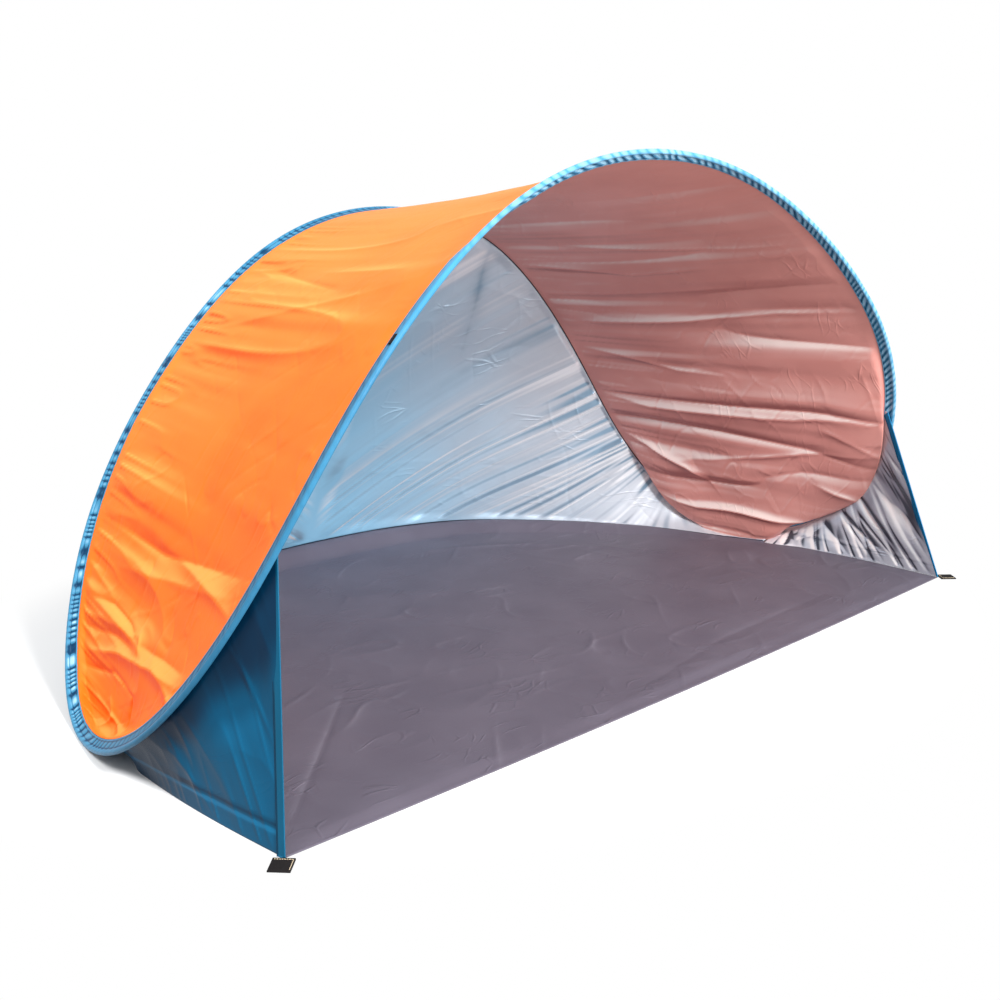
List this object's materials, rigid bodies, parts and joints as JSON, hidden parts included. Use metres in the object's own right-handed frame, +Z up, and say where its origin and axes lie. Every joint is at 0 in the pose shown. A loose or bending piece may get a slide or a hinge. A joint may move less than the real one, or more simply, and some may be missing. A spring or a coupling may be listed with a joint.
{
  "type": "pop-up beach tent",
  "caption": "Pop-up beach shelter: arched roof panel, sloping rear wall, side wings and sewn-in floor, held open by a sprung wire loop in a fabric sleeve.",
  "frame": {"origin": "on the ground, at the middle of the tent's width and depth", "axes": "+X to the right when looking in at the open front, +Y from the open front towards the rear wall, +Z up"},
  "size_m": [1.8782, 1.2008, 0.9122],
  "materials": {
    "spring_steel": "plain steel wire",
    "orange_cloth": "thin coated polyester, orange",
    "blue_cloth": "thin coated polyester, blue outside and silver inside",
    "pale_blue_cloth": "woven blue tape, gathered",
    "grey_cloth": "coated floor cloth, grey, matt",
    "black_webbing": "woven black webbing"
  },
  "bodies": {
    "rear_shell": {"rear_wire_long": "spring_steel", "rear_wire_tail": "spring_steel", "wire_ferrule": "spring_steel", "rear_sleeve": "pale_blue_cloth", "roof_panel": "orange_cloth", "rear_wall": "blue_cloth", "rear_floor": "grey_cloth"},
    "front_shell": {"front_wire": "spring_steel", "front_sleeve": "pale_blue_cloth", "left_wing": "blue_cloth", "right_wing": "blue_cloth", "left_front_binding": "pale_blue_cloth", "right_front_binding": "pale_blue_cloth", "front_floor": "grey_cloth", "closing_loop": "black_webbing"},
    "left_tab": {"left_corner_tab": "black_webbing"},
    "right_tab": {"right_corner_tab": "black_webbing"}
  },
  "joints": [
    {"name": "front_fold", "type": "hinge", "parent": "rear_shell", "child": "front_shell", "pos_m": [0, -0.12237, 0.03605], "axis": [-1, 0, 0], "range_deg": [0, 45], "stiffness_Nm_per_rad": 0.5, "springref_deg": -28.65, "deforming": ["roof_panel"]},
    {"name": "left_tab_hinge", "type": "hinge", "parent": "front_shell", "child": "left_tab", "pos_m": [-0.89765, -0.56655, 0.0024], "axis": [-0.6691, 0.7431, 0], "range_deg": [0, 70]},
    {"name": "right_tab_hinge", "type": "hinge", "parent": "front_shell", "child": "right_tab", "pos_m": [0.89765, -0.56655, 0.0024], "axis": [-0.6691, -0.7431, 0], "range_deg": [0, 70]}
  ]
}
